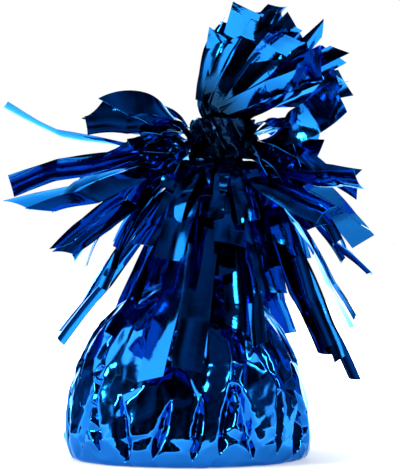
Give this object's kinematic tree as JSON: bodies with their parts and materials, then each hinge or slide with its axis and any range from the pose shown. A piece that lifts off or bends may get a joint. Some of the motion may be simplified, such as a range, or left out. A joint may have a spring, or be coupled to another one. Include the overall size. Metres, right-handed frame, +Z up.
{
  "type": "balloon weight",
  "caption": "Foil-wrapped domed balloon weight: a cast block in crinkled film gathered to a banded neck, with a sprayed fringe of film strips and a leaning tuft on top.",
  "frame": {"origin": "middle of the flat foot, on the surface the weight stands on", "axes": "+Z up, +X to the right in the picture, which is the way the neck and the tuft lean, and -Y towards the viewer"},
  "size_m": [0.1078, 0.0962, 0.1222],
  "materials": {
    "wrap_film": "mirror-gloss metallised film, crumpled, see-through blue tint over bright metal",
    "strip_film": "mirror-gloss metallised film, cut into strips",
    "band_film": "metallised film bunched tight, so it reads almost black",
    "cement": "cast cement, matt and slightly pitted",
    "tie_wire": "soft bright tie wire"
  },
  "bodies": {
    "base": {"foil_wrap": "wrap_film", "ballast_block": "cement", "neck_tie": "tie_wire", "neck_band": "band_film"},
    "left_fringe": {"left_spray_1": "strip_film", "left_spray_2": "strip_film", "left_spray_3": "strip_film", "left_spray_4": "strip_film", "left_spray_5": "strip_film", "left_spray_6": "strip_film", "left_spray_7": "strip_film", "left_spray_8": "strip_film", "left_fall_1": "strip_film", "left_fall_2": "strip_film", "left_fall_3": "strip_film", "left_fall_4": "strip_film"},
    "front_fringe": {"front_fall_1": "strip_film", "front_fall_2": "strip_film", "front_fall_3": "strip_film", "front_fall_4": "strip_film", "front_fall_5": "strip_film", "front_fall_6": "strip_film", "front_fall_7": "strip_film", "front_fall_8": "strip_film", "front_fall_9": "strip_film"},
    "right_fringe": {"right_spray_1": "strip_film", "right_spray_2": "strip_film", "right_spray_3": "strip_film", "right_spray_4": "strip_film", "right_spray_5": "strip_film", "right_spray_6": "strip_film", "right_fall_1": "strip_film", "right_fall_2": "strip_film", "right_fall_3": "strip_film", "right_fall_4": "strip_film"},
    "rear_fringe": {"rear_spray_1": "strip_film", "rear_spray_2": "strip_film", "rear_spray_3": "strip_film", "rear_spray_4": "strip_film", "rear_fall_1": "strip_film", "rear_fall_2": "strip_film", "rear_fall_3": "strip_film", "rear_fall_4": "strip_film", "rear_fall_5": "strip_film", "rear_fall_6": "strip_film", "rear_fall_7": "strip_film"},
    "tuft": {"tuft_knot": "band_film", "tuft_strip_1": "strip_film", "tuft_strip_2": "strip_film", "tuft_strip_3": "strip_film", "tuft_strip_4": "strip_film", "tuft_strip_5": "strip_film", "tuft_strip_6": "strip_film", "tuft_strip_7": "strip_film", "tuft_strip_8": "strip_film", "tuft_strip_9": "strip_film", "tuft_strip_10": "strip_film", "tuft_strip_11": "strip_film", "tuft_strip_12": "strip_film", "tuft_strip_13": "strip_film"}
  },
  "joints": [
    {"name": "left_fringe_lift", "type": "hinge", "parent": "base", "child": "left_fringe", "pos_m": [0.00142, -0.00139, 0.0842], "axis": [-0.1736, 0.9848, 0], "range_deg": [0, 12]},
    {"name": "front_fringe_lift", "type": "hinge", "parent": "base", "child": "front_fringe", "pos_m": [0.00819, -0.00792, 0.0792], "axis": [-0.9903, 0.1392, 0], "range_deg": [0, 12]},
    {"name": "right_fringe_lift", "type": "hinge", "parent": "base", "child": "right_fringe", "pos_m": [0.01655, -0.00338, 0.0842], "axis": [-0.4226, -0.9063, 0], "range_deg": [0, 12]},
    {"name": "rear_fringe_lift", "type": "hinge", "parent": "base", "child": "rear_fringe", "pos_m": [0.01069, 0.00788, 0.0842], "axis": [0.9848, -0.1736, 0], "range_deg": [0, 12]},
    {"name": "tuft_tilt", "type": "hinge", "parent": "base", "child": "tuft", "pos_m": [0.0093, 0, 0.09478], "axis": [0, 1, 0], "range_deg": [-40, 5]}
  ]
}
